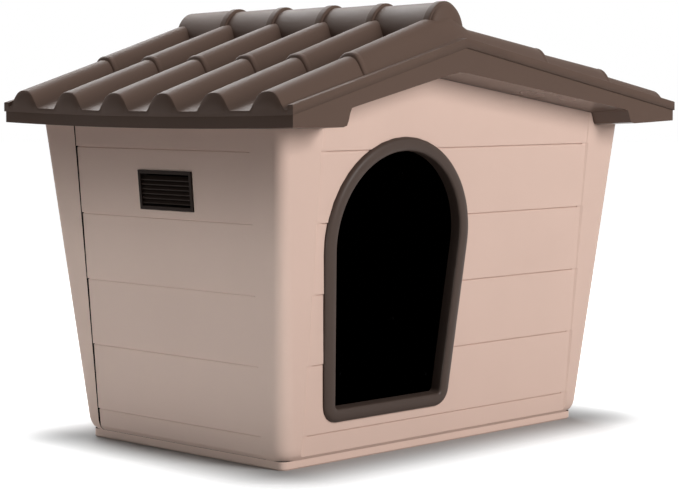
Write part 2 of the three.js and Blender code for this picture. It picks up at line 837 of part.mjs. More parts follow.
function ventGrille(face) {
  const windowHalfWidth = ventWidth / 2 - ventRim;
  const windowHalfHeight = ventHeight / 2 - ventRim;
  const sleeve = ventSleeveWall;
  let grille = ventBlock(ventWidth / 2, ventHeight / 2, seatGap, ventProud, face);
  grille = grille.add(
    ventBlock(windowHalfWidth + sleeve, windowHalfHeight + sleeve, -ventSleeveDepth, seatGap + 0.5, face),
  );
  grille = grille.subtract(
    ventBlock(windowHalfWidth, windowHalfHeight, -ventSleeveDepth - 1, ventProud + 1, face),
  );
  const pitch = (2 * windowHalfHeight) / (slatCount + 1);
  for (let i = 1; i <= slatCount; i++) {
    const slat = new THREE.BoxGeometry(2 * windowHalfWidth + sleeve, slatThickness, slatDepth);
    slat.rotateX(slatTilt);
    slat.translate(0, -windowHalfHeight + pitch * i, ventProud - slatDepth / 2 - 0.8);
    grille = grille.add(placed(slat, ventMatrix(face)));
  }
  for (const way of [-1, 1]) {
    const reach = sleeve + barbProud;
    const barb = new THREE.BoxGeometry(barbLength, reach, barbThickness);
    const back = -panelWall - seatGap - barbThickness / 2;
    barb.translate(0, way * (windowHalfHeight + 0.5 + reach / 2), back);
    grille = grille.add(placed(barb, ventMatrix(face)));
  }
  return grille;
}

// The seat and the hole of a vent in its wall.
function ventCut(face) {
  const hole = ventSleeveWall + sleeveClearance - ventRim;
  const halfWidth = ventWidth / 2;
  const halfHeight = ventHeight / 2;
  return ventBlock(halfWidth + hole, halfHeight + hole, -20, 10, face).add(
    ventBlock(halfWidth + sleeveClearance, halfHeight + sleeveClearance, 0, 10, face),
  );
}

// ---- Walls ----

function endWall(face, region) {
  const wall = wallShell(0).intersect(region).intersect(underRoof());
  const half = bodyHalfWidth - postWidth;
  const grooveHalf = half - plankGrooveEnd;
  return wall
    .subtract(plankCut(face, "x", bodyShiftX - half, bodyShiftX + half, postFlank))
    .subtract(plankGrooves(face, "x", bodyShiftX - grooveHalf, bodyShiftX + grooveHalf));
}

function frontWall() {
  const screws = cornerScrews.filter((screw) => screw.end === "front");
  const feet = floorScrews.filter((screw) => screw.side === "front");
  return endWall(faces.front, beforeFrontSeam(0))
    .subtract(doorPlug(sleeveWall + sleeveClearance, -30, 10))
    .subtract(doorPlug(ringWidth + sleeveClearance, 0, 10))
    .subtract(pilots(screws, cornerScrewLength))
    .subtract(pilots(feet, floorScrewLength));
}

function rearWall() {
  const screws = cornerScrews.filter((screw) => screw.end === "rear");
  const feet = floorScrews.filter((screw) => screw.side === "rear");
  return endWall(faces.rear, behindRearSeam(0))
    .subtract(pilots(screws, cornerScrewLength))
    .subtract(pilots(feet, floorScrewLength));
}

function sideWall(side) {
  const face = faces[side];
  const half = side === "left" ? block(-farOut, peakX, -farOut, farOut, -20, aboveAll)
    : block(peakX, farOut, -farOut, farOut, -20, aboveAll);
  const span = (shift) =>
    half.subtract(beforeFrontSeam(shift)).subtract(behindRearSeam(-shift));
  const proudest = panelRecess - plankLap;
  let wall = wallShell(proudest).intersect(span(seamGap));
  wall = wall.intersect(underRoof());
  wall = wall.subtract(plankCut(face, "y", -farOut, farOut, 0));
  wall = wall.subtract(plankGrooves(face, "y", -farOut, farOut));
  // The laps reach behind the posts from a thicker root at each end of the wall.
  const lapOuter = innerInset + seamGap;
  const lapInner = lapOuter + lapWall;
  const ends = span(-lapReach).subtract(span(lapRoot));
  const lap = tubShell(lapOuter, lapInner, lapLow, lapHigh).intersect(ends);
  const root = tubShell(innerInset - 1, lapInner, lapLow, lapHigh)
    .intersect(ends)
    .intersect(span(seamGap));
  wall = wall.add(root).add(lap).subtract(ventCut(face));
  const screws = cornerScrews.filter((screw) => screw.side === side);
  const feet = floorScrews.filter((screw) => screw.side === side);
  return wall.subtract(pilots(screws, cornerScrewLength)).subtract(pilots(feet, floorScrewLength));
}

// ---- Roof ----

// The height of a straight gable line at a place across the roof.
function gableAt(x, eave, peak) {
  const reach = x < peakX ? peakX + roofHalfWidth : roofHalfWidth - peakX;
  return peak - ((peak - eave) * Math.abs(x - peakX)) / reach;
}

function valleyAt(x) {
  return gableAt(x, valleyEave, valleyPeak);
}

function splitAt(x) {
  return gableAt(x, rimEave - bandHeight, rimPeak - bandHeight);
}

// Six roof screws rise through the eave soffits into bosses of the shell.
const roofScrewPlaces = [];
for (const way of [-1, 1]) {
  const spread = roofHalfDepth - roofScrewEndInset;
  for (const y of [-spread, 0, spread]) {
    roofScrewPlaces.push([way * (roofHalfWidth - roofScrewInset), y]);
  }
}
const headSeatZ = soffitLow + headSeat;
const roofScrewMatrix = ([x, y]) =>
  new THREE.Matrix4().makeRotationX(Math.PI).setPosition(x, y, headSeatZ);

function roofPilots() {
  const cuts = roofScrewPlaces.map((place) =>
    placed(pilotGeometry(roofScrewLength), roofScrewMatrix(place)),
  );
  return joined(cuts);
}

function cylinder(radius, x, y, z0, z1) {
  const geometry = new THREE.CylinderGeometry(radius, radius, z1 - z0, 12);
  geometry.rotateX(Math.PI / 2);
  geometry.translate(x, y, (z0 + z1) / 2);
  return solid(geometry);
}

// The under-frame as a filled loft: it is deepest along the walls, and shallower at both gables.
function frameFill(lowShift, spread, top) {
  const section = (y, drop) => {
    const lower = soffitOutline(drop).map(([x, z]) => {
      const away = x < soffitPeakX ? -spread : spread;
      return new THREE.Vector3(x + away, y, z + lowShift);
    });
    const upper = top.map(([x, z]) => new THREE.Vector3(x, y, z));
    return [...lower, ...upper];
  };
  const frontWallY = faces.front.place(soffitPeakZ);
  const rearWallY = faces.rear.place(soffitPeakZ);
  const end = frameHalfDepth - (lowShift > 0 ? frameWall : 0);
  return loft([
    section(-end, fasciaDrop),
    section(frontWallY, soffitDrop),
    section(rearWallY, soffitDrop),
    section(end, fasciaDrop),
  ]);
}

function roofFrame() {
  const reach = frameHalfWidth;
  const topZ = (x) => splitAt(x) - roofSeatGap;
  const top = [
    [reach, topZ(reach)],
    [peakX, topZ(peakX)],
    [-reach, topZ(-reach)],
  ];
  const open = [
    [reach + frameWall, aboveAll],
    [-reach - frameWall, aboveAll],
  ];
  const inside = reach - frameWall;
  const between = block(-inside, inside, -frameHalfDepth, frameHalfDepth, 0, aboveAll + 10);
  const pocket = frameFill(frameWall, frameWall - 0.5, open).intersect(between);
  const lipInset = innerInset + lipClearance;
  const lipLow = soffitLow - lipDepth;
  const frameBosses = roofScrewPlaces.map(([x, y]) =>
    cylinder(seatRadius + seatWall, x, y, eaveHeight, headSeatZ + seatWall),
  );
  let frame = frameFill(0, 0, top).subtract(pocket).add(joined(frameBosses));
  frame = frame.subtract(tub(lipInset + lipWall, lipLow - 10, aboveAll));
  const lipTop = soffitOutline(soffitDrop).map(([x, z]) => [x, z + frameWall * 0.7]);
  const lipBottom = soffitOutline(soffitDrop).map(([x, z]) => [x, z - lipDepth]).reverse();
  const lip = tubShell(lipInset, lipInset + lipWall, lipLow - 5, aboveAll).intersect(
    prism([...lipTop, ...lipBottom], "y", -frameHalfDepth, frameHalfDepth),
  );
  frame = frame.add(lip);
  const seats = roofScrewPlaces.map(([x, y]) =>
    cylinder(seatRadius, x, y, soffitLow - 10, headSeatZ),
  );
  return frame.subtract(joined(seats)).subtract(roofPilots());
}

// One cross-section of a tile column: an arch that stands on the valleys' plane, with a foot below it.
function columnRing(x, y, half, rise, sink) {
  const arch = columnProfile.map(([across, up]) => [across * half, up * rise]);
  const other = arch.slice(0, -1).reverse();
  const skin = [...arch, ...other.map(([across, up]) => [-across, up])];
  const outline = [[half, -sink], ...skin, [-half, -sink]];
  return outline.map(([across, up]) => new THREE.Vector3(x, y + across, valleyAt(x) + up));
}

// One course of one tile column, with a dulled nose.
function tileCourse({ low, high, rise: [riseLow, riseHigh] }, y) {
  const way = Math.sign(high - low);
  const atEave = Math.abs(low) === roofHalfWidth;
  const end = high === peakX ? high : high + way * tileOverlap;
  const dull = atEave ? eaveNoseDrop : tileNoseDrop;
  const stations = [
    [low, dull],
    [low + way * (atEave ? eaveNose : tileNose), 0],
    [end, 0],
  ];
  const rings = stations.map(([x, less]) => {
    const share = (x - low) / (high - low);
    const rise = riseLow + (riseHigh - riseLow) * share - less;
    const half = tileHalfWidthLow + (tileHalfWidthHigh - tileHalfWidthLow) * share - less / 2;
    return columnRing(x, y, half, rise, roofWall / 2);
  });
  return loft(rings);
}

// The hollow under one tile column of one slope, from its eave to the peak.
function columnHollow(slope, y) {
  const half = tileHalfWidthHigh - roofWall;
  const way = Math.sign(slope[0].high - slope[0].low);
  const stations = [[slope[0].low + way * roofWall, slope[0].rise[0]]];
  slope.forEach(({ high, rise }) => stations.push([high, rise[1]]));
  return loft(stations.map(([x, top]) => columnRing(x, y, half, top - roofWall, roofWall * 2)));
}

// The ridge cap's radius along Y, from the rear dome to the front one.
function ridgeStations() {
  const stations = [];
  const domeRing = (number, radius) => {
    const turn = (Math.PI / 2) * (number / domeRings) * 0.97;
    const power = 2 / domeFullness;
    return [domeStart + domeLength * Math.sin(turn) ** power, radius * Math.cos(turn) ** power];
  };
  for (let i = domeRings; i > 0; i--) {
    stations.push(domeRing(i, ridgeRadiusSmall));
  }
  stations.push([domeStart, ridgeRadiusSmall]);
  for (let i = 1; i < columnCount; i++) {
    const last = i === columnCount - 1;
    const joint = last ? -domeStart : columnPitch * ((columnCount - 1) / 2 - i);
    stations.push([joint + collarLength, ridgeRadiusLarge]);
    stations.push([joint + collarLength - collarStep, collarRadius]);
    stations.push([joint + collarStep, collarRadius]);
    stations.push([joint, last ? ridgeRadiusLarge : ridgeRadiusSmall]);
  }
  for (let i = 1; i <= domeRings; i++) {
    const [y, radius] = domeRing(i, ridgeRadiusLarge);
    stations.push([-y, radius]);
  }
  return stations;
}

function ridgeRing(y, radius, foot) {
  const steps = 10;
  const half = radius * ridgeNarrow;
  const points = [];
  for (let i = 0; i <= steps; i++) {
    const turn = (Math.PI * i) / steps;
    points.push(
      new THREE.Vector3(peakX + half * Math.cos(turn), y, ridgeAxisZ + radius * Math.sin(turn)),
    );
  }
  points.push(new THREE.Vector3(peakX - half, y, foot));
  points.push(new THREE.Vector3(peakX + half, y, foot));
  return points;
}

function ridgeCap() {
  const foot = valleyAt(peakX - collarRadius * ridgeNarrow) - roofWall / 2;
  return loft(ridgeStations().map(([y, radius]) => ridgeRing(y, radius, foot)));
}

function roofShell() {
  const slab = (eave, peak, y0, y1) => {
    const outline = [
      [-roofHalfWidth, splitAt(-roofHalfWidth)],
      [peakX, splitAt(peakX)],
      [roofHalfWidth, splitAt(roofHalfWidth)],
      [roofHalfWidth, eave],
      [peakX, peak],
      [-roofHalfWidth, eave],
    ];
    return prism(outline, "y", y0, y1);
  };
  const columns = [];
  const hollows = [];
  for (let i = 0; i < columnCount; i++) {
    const y = columnPitch * (i - (columnCount - 1) / 2);
    for (const slope of slopes) {
      slope.forEach((course) => columns.push(tileCourse(course, y)));
      hollows.push(columnHollow(slope, y));
    }
  }
  const inside = roofHalfWidth - roofWall;
  const underside = [
    [-inside, 0],
    [inside, 0],
    [inside, valleyAt(inside) - roofWall],
    [peakX, valleyPeak - roofWall],
    [-inside, valleyAt(-inside) - roofWall],
  ];
  const cavityEnd = roofHalfDepth - roofWall;
  const ridgeHollow = loft(
    [-domeStart, domeStart].map((y) =>
      ridgeRing(y, ridgeRadiusSmall - roofWall, rimPeak - 4 * bandHeight),
    ),
  );
  let shell = joined([
    slab(valleyEave, valleyPeak, -roofHalfDepth, roofHalfDepth),
    slab(rimEave, rimPeak, -roofHalfDepth, rimWidth - roofHalfDepth),
    slab(rimEave, rimPeak, roofHalfDepth - rimWidth, roofHalfDepth),
    ridgeCap(),
    ...columns,
  ]);
  shell = shell.subtract(prism(underside, "y", -cavityEnd, cavityEnd));
  shell = shell.subtract(joined(hollows)).subtract(ridgeHollow);
  const bossLow = headSeatZ + seatWall + bossGap;
  const bosses = roofScrewPlaces.map(([x, y]) =>
    cylinder(bossRadius, x, y, bossLow, valleyAt(Math.abs(x)) - roofWall / 2),
  );
  return shell.add(joined(bosses)).subtract(roofPilots());
}

// ---- The assembly ----

const dogHouse = new THREE.Group();

function addPiece(name, made, material) {
  const mesh = new THREE.Mesh(geometryOf(made), material);
  mesh.name = name;
  dogHouse.add(mesh);
}

function addScrew(name, length, matrix) {
  const mesh = new THREE.Mesh(geometryOf(solid(screwGeometry(length))), steel);
  mesh.name = name;
  mesh.applyMatrix4(matrix);
  dogHouse.add(mesh);
}

addPiece("floor_tray", floorTray(), beige);
addPiece("front_wall", frontWall(), beige);
addPiece("rear_wall", rearWall(), beige);
addPiece("left_wall", sideWall("left"), beige);
addPiece("right_wall", sideWall("right"), beige);
addPiece("door_frame", doorFrame(), darkBrown);
addPiece("vent_grille_left", ventGrille(faces.left), darkBrown);
addPiece("vent_grille_right", ventGrille(faces.right), darkBrown);
addPiece("roof_frame", roofFrame(), brown);
addPiece("roof_shell", roofShell(), brown);
cornerScrews.forEach(({ name, matrix }) => addScrew(name, cornerScrewLength, matrix));
floorScrews.forEach(({ name, matrix }) => addScrew(name, floorScrewLength, matrix));
roofScrewPlaces.forEach((place, i) =>
  addScrew(`roof_screw_${i + 1}`, roofScrewLength, roofScrewMatrix(place)),
);

export default dogHouse;
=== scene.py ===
import math

import bmesh
import bpy
from mathutils import Matrix, Vector


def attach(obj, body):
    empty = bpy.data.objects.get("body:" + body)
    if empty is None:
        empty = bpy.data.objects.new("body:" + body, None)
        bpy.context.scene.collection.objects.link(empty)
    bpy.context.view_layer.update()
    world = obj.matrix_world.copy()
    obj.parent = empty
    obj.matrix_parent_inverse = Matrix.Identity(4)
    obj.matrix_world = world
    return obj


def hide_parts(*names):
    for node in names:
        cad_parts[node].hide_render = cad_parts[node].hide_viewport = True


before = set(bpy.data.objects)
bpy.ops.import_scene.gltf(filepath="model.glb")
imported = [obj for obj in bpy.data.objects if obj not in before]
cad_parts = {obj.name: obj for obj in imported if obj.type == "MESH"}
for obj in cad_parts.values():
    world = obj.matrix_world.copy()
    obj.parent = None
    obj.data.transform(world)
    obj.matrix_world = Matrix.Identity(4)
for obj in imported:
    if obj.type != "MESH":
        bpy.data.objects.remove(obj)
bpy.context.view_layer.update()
scene = bpy.context.scene
scene.view_settings.view_transform = "Standard"


# ---- Camera ----
# It stands off the left front corner, a little above the floor, with a long lens.

camera_place = Vector((-1.5962, -1.5549, 0.3753))
camera_target = Vector((-0.016456, -0.00272, 0.203935))
camera = bpy.data.objects.new("camera", bpy.data.cameras.new("camera"))
camera.data.sensor_width = 36.0
camera.data.lens = 107.31
camera.location = camera_place
camera.rotation_euler = (camera_target - camera_place).to_track_quat("-Z", "Y").to_euler()
scene.collection.objects.link(camera)
scene.camera = camera


# ---- Studio: lamps, world and floor ----
# A large low lamp lights the gable end, and a broad one hangs overhead. A narrow cool strip lights
# the left wall below the eave, and a cool lamp behind grazes the tiles. The floor is pale; its white
# glow fades near the house, a painted shade round the base.

lamps = [
    ("front_lamp", (0.3, -3.1, 1.35), (-0.1, -0.15, 0.2), 1.1, 1.5, 180, 90.0, (1.0, 1.0, 1.0)),
    ("top_lamp", (-0.1, 0.3, 2.7), (0.0, 0.0, 0.4), 1.6, 1.4, 180, 24.0, (1.0, 1.0, 1.0)),
    ("left_strip", (-2.6, 0.0, 0.135), (0.0, 0.0, 0.135), 1.2, 0.26, 4.9, 0.42, (0.84, 0.96, 1.0)),
    ("back_lamp", (0.6, 2.2, 2.3), (0.0, 0.0, 0.42), 2.4, 1.6, 60, 15.0, (0.95, 0.98, 1.0)),
]
for name, place, target, width, height, spread, power, tint in lamps:
    light = bpy.data.lights.new(name, "AREA")
    light.shape = "RECTANGLE"
    light.size = width
    light.size_y = height
    light.spread = math.radians(spread)
    light.energy = power
    light.color = tint
    lamp = bpy.data.objects.new(name, light)
    lamp.location = place
    lamp.rotation_euler = (Vector(target) - Vector(place)).to_track_quat("-Z", "Y").to_euler()
    lamp.visible_camera = False
    scene.collection.objects.link(lamp)


def seen_directly(nodes):
    """1 for what the camera sees, straight or in a gloss or through glass, and 0 for other light."""
    path = nodes.new("ShaderNodeLightPath")
    first = nodes.new("ShaderNodeMath")
    first.operation = "MAXIMUM"
    second = nodes.new("ShaderNodeMath")
    second.operation = "MAXIMUM"
    links = path.id_data.links
    links.new(path.outputs["Is Camera Ray"], first.inputs[0])
    links.new(path.outputs["Is Glossy Ray"], first.inputs[1])
    links.new(first.outputs[0], second.inputs[0])
    links.new(path.outputs["Is Transmission Ray"], second.inputs[1])
    return second.outputs[0]


world = bpy.data.worlds.new("studio")
world.use_nodes = True
scene.world = world
nodes = world.node_tree.nodes
links = world.node_tree.links
nodes.clear()
dim = nodes.new("ShaderNodeBackground")
dim.inputs["Color"].default_value = (1.0, 0.98, 0.96, 1.0)
dim.inputs["Strength"].default_value = 0.05
white = nodes.new("ShaderNodeBackground")
white.inputs["Color"].default_value = (1.0, 1.0, 1.0, 1.0)
white.inputs["Strength"].default_value = 1.0
blend = nodes.new("ShaderNodeMixShader")
links.new(seen_directly(nodes), blend.inputs[0])
links.new(dim.outputs[0], blend.inputs[1])
links.new(white.outputs[0], blend.inputs[2])
output = nodes.new("ShaderNodeOutputWorld")
links.new(blend.outputs[0], output.inputs["Surface"])

floor_mesh = bpy.data.meshes.new("studio_floor")
bm = bmesh.new()
bmesh.ops.create_circle(bm, cap_ends=True, segments=64, radius=12.0)
bm.to_mesh(floor_mesh)
bm.free()
floor = bpy.data.objects.new("studio_floor", floor_mesh)
scene.collection.objects.link(floor)

paper = bpy.data.materials.new("white_paper_painted_base_shade")
paper.use_nodes = True
nodes = paper.node_tree.nodes
links = paper.node_tree.links
nodes.clear()
diffuse = nodes.new("ShaderNodeBsdfDiffuse")
diffuse.inputs["Color"].default_value = (0.45, 0.45, 0.45, 1.0)
coordinates = nodes.new("ShaderNodeTexCoord")
centred = nodes.new("ShaderNodeVectorMath")
centred.operation = "SUBTRACT"
centred.inputs[1].default_value = (-0.004, 0.0079, 0.0)
folded = nodes.new("ShaderNodeVectorMath")
folded.operation = "ABSOLUTE"
beyond = nodes.new("ShaderNodeVectorMath")
beyond.operation = "SUBTRACT"
beyond.inputs[1].default_value = (0.231, 0.147, 0.0)
outside = nodes.new("ShaderNodeVectorMath")
outside.operation = "MAXIMUM"
away = nodes.new("ShaderNodeVectorMath")
away.operation = "LENGTH"
# Painted shade: the camera's white glow fades out within 0.13 m of the footprint, so a grey halo
# rings the base besides its real shadow.
spread = nodes.new("ShaderNodeMapRange")
spread.interpolation_type = "SMOOTHSTEP"
spread.inputs["From Min"].default_value = 0.0
spread.inputs["From Max"].default_value = 0.13
spread.inputs["To Min"].default_value = 0.0
spread.inputs["To Max"].default_value = 1.0
glow_fading_near_house_as_painted_shade = nodes.new("ShaderNodeMath")
glow_fading_near_house_as_painted_shade.operation = "MULTIPLY"
glow = nodes.new("ShaderNodeEmission")
glow.inputs["Color"].default_value = (1.0, 1.0, 1.0, 1.0)
both = nodes.new("ShaderNodeAddShader")
output = nodes.new("ShaderNodeOutputMaterial")
links.new(coordinates.outputs["Object"], centred.inputs[0])
links.new(centred.outputs["Vector"], folded.inputs[0])
links.new(folded.outputs["Vector"], beyond.inputs[0])
links.new(beyond.outputs["Vector"], outside.inputs[0])
links.new(outside.outputs["Vector"], away.inputs[0])
links.new(away.outputs["Value"], spread.inputs["Value"])
links.new(spread.outputs["Result"], glow_fading_near_house_as_painted_shade.inputs[0])
links.new(seen_directly(nodes), glow_fading_near_house_as_painted_shade.inputs[1])
links.new(glow_fading_near_house_as_painted_shade.outputs[0], glow.inputs["Strength"])
links.new(diffuse.outputs[0], both.inputs[0])
links.new(glow.outputs[0], both.inputs[1])
links.new(both.outputs[0], output.inputs["Surface"])
floor_mesh.materials.append(paper)


# ---- Floor tray ----
# A shallow moulded tray, ribbed underneath, with an upstand all round that carries the walls.
# It is the same beige plastic as the walls. Inside the house the plastic faces get a near-black
# painted shade.


def moulded_plastic(name, tone, patch, roughness, grain, specular):
    """Injection-moulded plastic: two close tones in soft patches, and a fine-grained surface."""
    material = bpy.data.materials.new(name)
    material.use_nodes = True
    nodes = material.node_tree.nodes
    links = material.node_tree.links
    shader = nodes["Principled BSDF"]
    shader.inputs["Specular IOR Level"].default_value = specular
    coordinates = nodes.new("ShaderNodeTexCoord")
    patches = nodes.new("ShaderNodeTexNoise")
    patches.inputs["Scale"].default_value = 9.0
    patches.inputs["Detail"].default_value = 4.0
    patches.inputs["Roughness"].default_value = 0.55
    tones = nodes.new("ShaderNodeValToRGB")
    tones.color_ramp.elements[0].position = 0.3
    tones.color_ramp.elements[0].color = (*patch, 1.0)
    tones.color_ramp.elements[1].position = 0.7
    tones.color_ramp.elements[1].color = (*tone, 1.0)
    speck = nodes.new("ShaderNodeTexNoise")
    speck.inputs["Scale"].default_value = 900.0
    speck.inputs["Detail"].default_value = 3.0
    gloss = nodes.new("ShaderNodeMapRange")
    gloss.inputs["From Min"].default_value = 0.3
    gloss.inputs["From Max"].default_value = 0.7
    gloss.inputs["To Min"].default_value = roughness - 0.05
    gloss.inputs["To Max"].default_value = roughness + 0.05
    bump = nodes.new("ShaderNodeBump")
    bump.inputs["Strength"].default_value = grain
    bump.inputs["Distance"].default_value = 0.0002
    links.new(coordinates.outputs["Object"], patches.inputs["Vector"])
    links.new(coordinates.outputs["Object"], speck.inputs["Vector"])
    links.new(patches.outputs["Fac"], tones.inputs["Fac"])
    links.new(tones.outputs["Color"], shader.inputs["Base Color"])
    links.new(patches.outputs["Fac"], gloss.inputs["Value"])
    links.new(gloss.outputs["Result"], shader.inputs["Roughness"])
    links.new(speck.outputs["Fac"], bump.inputs["Height"])
    links.new(bump.outputs["Normal"], shader.inputs["Normal"])
    return material


beige = moulded_plastic(
    "beige_plastic",
    tone=(0.66, 0.475, 0.4),
    patch=(0.635, 0.456, 0.383),
    roughness=0.5,
    grain=0.25,
    specular=0.12,
)
# Painted shade: a near-black colour for the plastic faces inside the house, which are beige in truth.
painted_shade = moulded_plastic(
    "painted_shade_inside",
    tone=(0.006, 0.005, 0.0045),
    patch=(0.004, 0.0035, 0.003),
    roughness=0.8,
    grain=0.1,
    specular=0.0,
)


edge_angle = 32


def shade_smooth(bm, sharpest):
    """Smooth faces, but for the edges that turn by more than so many degrees."""
    for face in bm.faces:
        face.smooth = True
    for edge in bm.edges:
        edge.smooth = edge.calc_face_angle(0.0) < math.radians(sharpest)


def moulding(node, name, bevel):
    """A CAD node's shape as one clean moulding, with small rounded edges."""
    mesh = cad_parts[node].data.copy()
    mesh.materials.clear()
    bm = bmesh.new()
    bm.from_mesh(mesh)
    bmesh.ops.remove_doubles(bm, verts=bm.verts, dist=0.00001)
    bmesh.ops.dissolve_limit(bm, angle_limit=math.radians(0.6), verts=bm.verts, edges=bm.edges)
    shade_smooth(bm, edge_angle)
    bm.to_mesh(mesh)
    bm.free()
    piece = bpy.data.objects.new(name, mesh)
    scene.collection.objects.link(piece)
    rounding = piece.modifiers.new("rounded_edges", "BEVEL")
    rounding.width = bevel
    rounding.segments = 2
    rounding.limit_method = "ANGLE"
    rounding.angle_limit = math.radians(edge_angle)
    rounding.use_clamp_overlap = True
    rounding.harden_normals = False
    weights = piece.modifiers.new("flat_faces", "WEIGHTED_NORMAL")
    weights.weight = 80
    weights.keep_sharp = False
    return piece


def paint_shade_inside(piece, faces_inside):
    """Gives the faces that look into the cabin a near-black painted shade in place of their beige."""
    piece.data.materials.append(beige)
    piece.data.materials.append(painted_shade)
    for polygon in piece.data.polygons:
        polygon.material_index = 1 if faces_inside(polygon.center, polygon.normal) else 0


tray_rounding = 0.0005
floor_level = 0.0085
tray = moulding("floor_tray", "tray_moulding", tray_rounding)
# The tray's top, inside the house, gets the near-black painted shade.
paint_shade_inside(tray, lambda centre, normal: centre.z > floor_level)
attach(tray, "house")
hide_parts("floor_tray")


# ---- Walls ----
# Four beige mouldings with plank laps on their panels. The front and rear walls wrap round the
# corners as posts, and the side walls lap behind them and are screwed from inside.

cabin_middle = Vector((-0.0078, 0.0079, 0.0))
cabin_half = Vector((0.2333, 0.1538, 0.0))
wall_lean = 0.094
wall_rounding = 0.0006
foot_height = 0.0225
foot_skin = 0.0062
panel_skin = 0.0042
corner_skin = 0.018


def looks_inward(centre, normal):
    """Whether a face lies behind a wall's outer skin, which is deeper at its foot and corners."""
    away = centre - cabin_middle
    depth_x = cabin_half.x + wall_lean * centre.z - abs(away.x)
    depth_y = cabin_half.y + wall_lean * centre.z - abs(away.y)
    towards = normal.x * away.x if depth_x < depth_y else normal.y * away.y
    skin = panel_skin if centre.z > foot_height else foot_skin
    inner = towards < 0.0 or (towards < 0.05 and max(depth_x, depth_y) > corner_skin)
    return inner and min(depth_x, depth_y) > skin


for side in ("front", "rear", "left", "right"):
    wall = moulding(side + "_wall", side + "_moulding", wall_rounding)
    # Their faces inside the cabin get the near-black painted shade.
    paint_shade_inside(wall, looks_inward)
    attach(wall, "house")
    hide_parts(side + "_wall")


# ---- Door trim ----
# A dark brown ring round the arched doorway, with a short sleeve that clips into the wall's edge.
# It is one section swept along the arch, the side, the corner and the sill, and then mirrored.

arch_radius = 0.091
arch_height = 0.2225
sill_height = 0.0565
sill_corner = 0.005
side_slope = 0.082
side_lean = math.atan(side_slope)
dark_trim = moulded_plastic(
    "dark_brown_plastic",
    tone=(0.07, 0.048, 0.039),
    patch=(0.062, 0.042, 0.034),
    roughness=0.38,
    grain=0.2,
    specular=0.12,
)
ring_section = [
    (0.0, -0.008),
    (0.0, 0.0028),
    (0.0004, 0.0042),
    (0.0014, 0.0053),
    (0.003, 0.0059),
    (0.007, 0.006),
    (0.0105, 0.0056),
    (0.0126, 0.0046),
    (0.0136, 0.0032),
    (0.014, 0.0014),
    (0.014, 0.0002),
    (0.0025, 0.0002),
    (0.0025, -0.008),
]


def row_of_edges(bm, points):
    """A row of edges through the points, and the corners along it."""
    line = [bm.verts.new(point) for point in points]
    for here, there in zip(line, line[1:]):
        bm.edges.new((here, there))
    return line


def made_of(bm, name, material):
    """The finished mesh as a piece of one material, in the scene."""
    mesh = bpy.data.meshes.new(name)
    bm.to_mesh(mesh)
    bm.free()
    mesh.materials.append(material)
    piece = bpy.data.objects.new(name, mesh)
    scene.collection.objects.link(piece)
    return piece


def swept(bm, edges, centre, angle, steps):
    """Turns a row of edges about a centre in the wall's plane, and gives the row at the far end."""
    corners = list({corner for edge in edges for corner in edge.verts})
    made = bmesh.ops.spin(
        bm,
        geom=corners + edges,
        cent=centre,
        axis=(0.0, 0.0, 1.0),
        angle=angle,
        steps=steps,
    )
    return [item for item in made["geom_last"] if isinstance(item, bmesh.types.BMEdge)]


def drawn(bm, edges, way):
    """Draws a row of edges straight out, and gives the row at the far end."""
    made = bmesh.ops.extrude_edge_only(bm, edges=edges)["geom"]
    corners = [item for item in made if isinstance(item, bmesh.types.BMVert)]
    bmesh.ops.translate(bm, verts=corners, vec=way)
    return [item for item in made if isinstance(item, bmesh.types.BMEdge)
            and all(corner in corners for corner in item.verts)]


bm = bmesh.new()
arch_top = arch_height + arch_radius
section = row_of_edges(bm, [(0.0, arch_top + offset, proud) for offset, proud in ring_section])
bm.edges.new((section[-1], section[0]))
arch_end = Vector((arch_radius * math.cos(side_lean), -arch_radius * math.sin(side_lean), 0.0))
arch_end.y += arch_height
corner_y = sill_height + sill_corner
corner_x = arch_end.x - side_slope * (arch_end.y - corner_y) - sill_corner / math.cos(side_lean)
corner_start = Vector((
    corner_x + sill_corner * math.cos(side_lean),
    corner_y - sill_corner * math.sin(side_lean),
    0.0,
))
row = swept(bm, bm.edges[:], (0.0, arch_height, 0.0), -math.pi / 2 - side_lean, 30)
row = drawn(bm, row, corner_start - arch_end)
row = swept(bm, row, (corner_x, corner_y, 0.0), side_lean - math.pi / 2, 8)
row = drawn(bm, row, (-corner_x, 0.0, 0.0))
bmesh.ops.mirror(bm, geom=bm.verts[:] + bm.edges[:] + bm.faces[:], axis="X", merge_dist=0.00001)
bmesh.ops.remove_doubles(bm, verts=bm.verts, dist=0.00001)
bmesh.ops.recalc_face_normals(bm, faces=bm.faces)
face_scale = math.hypot(1.0, wall_lean)
wall_up = Vector((0.0, -wall_lean, 1.0)) / face_scale
wall_out = Vector((0.0, -1.0, -wall_lean)) / face_scale
door_middle = -0.098
ring_sink = 0.002
door_foot = Vector((door_middle, cabin_middle.y - cabin_half.y, 0.0)) - wall_out * ring_sink
door_frame = Matrix((Vector((1.0, 0.0, 0.0)), wall_up, wall_out)).transposed().to_4x4()
door_frame.translation = door_foot
bmesh.ops.transform(bm, matrix=door_frame, verts=bm.verts)
shade_smooth(bm, 50)
ring = made_of(bm, "door_trim_ring", dark_trim)
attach(ring, "house")
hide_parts("door_frame")


# ---- Vents ----
# A louvred grille near the top of each side wall, in a near-black brown plastic darker than the door
# trim's;
# part of that darkness is painted shade of the louvres.
# Its sleeve goes through the wall, and two barbs hold it from inside.

# Part of this near-black tone is painted shade of the louvres, on top of the plastic's own dark
# brown.
vent_plastic_painted_shade = moulded_plastic(
    "vent_plastic_painted_shade",
    tone=(0.024, 0.015, 0.012),
    patch=(0.02, 0.0125, 0.01),
    roughness=0.5,
    grain=0.2,
    specular=0.05,
)

for side in ("left", "right"):
    grille = moulding("vent_grille_" + side, side + "_louvre", 0.0003)
    grille.data.materials.append(vent_plastic_painted_shade)
    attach(grille, "house")
    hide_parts("vent_grille_" + side)


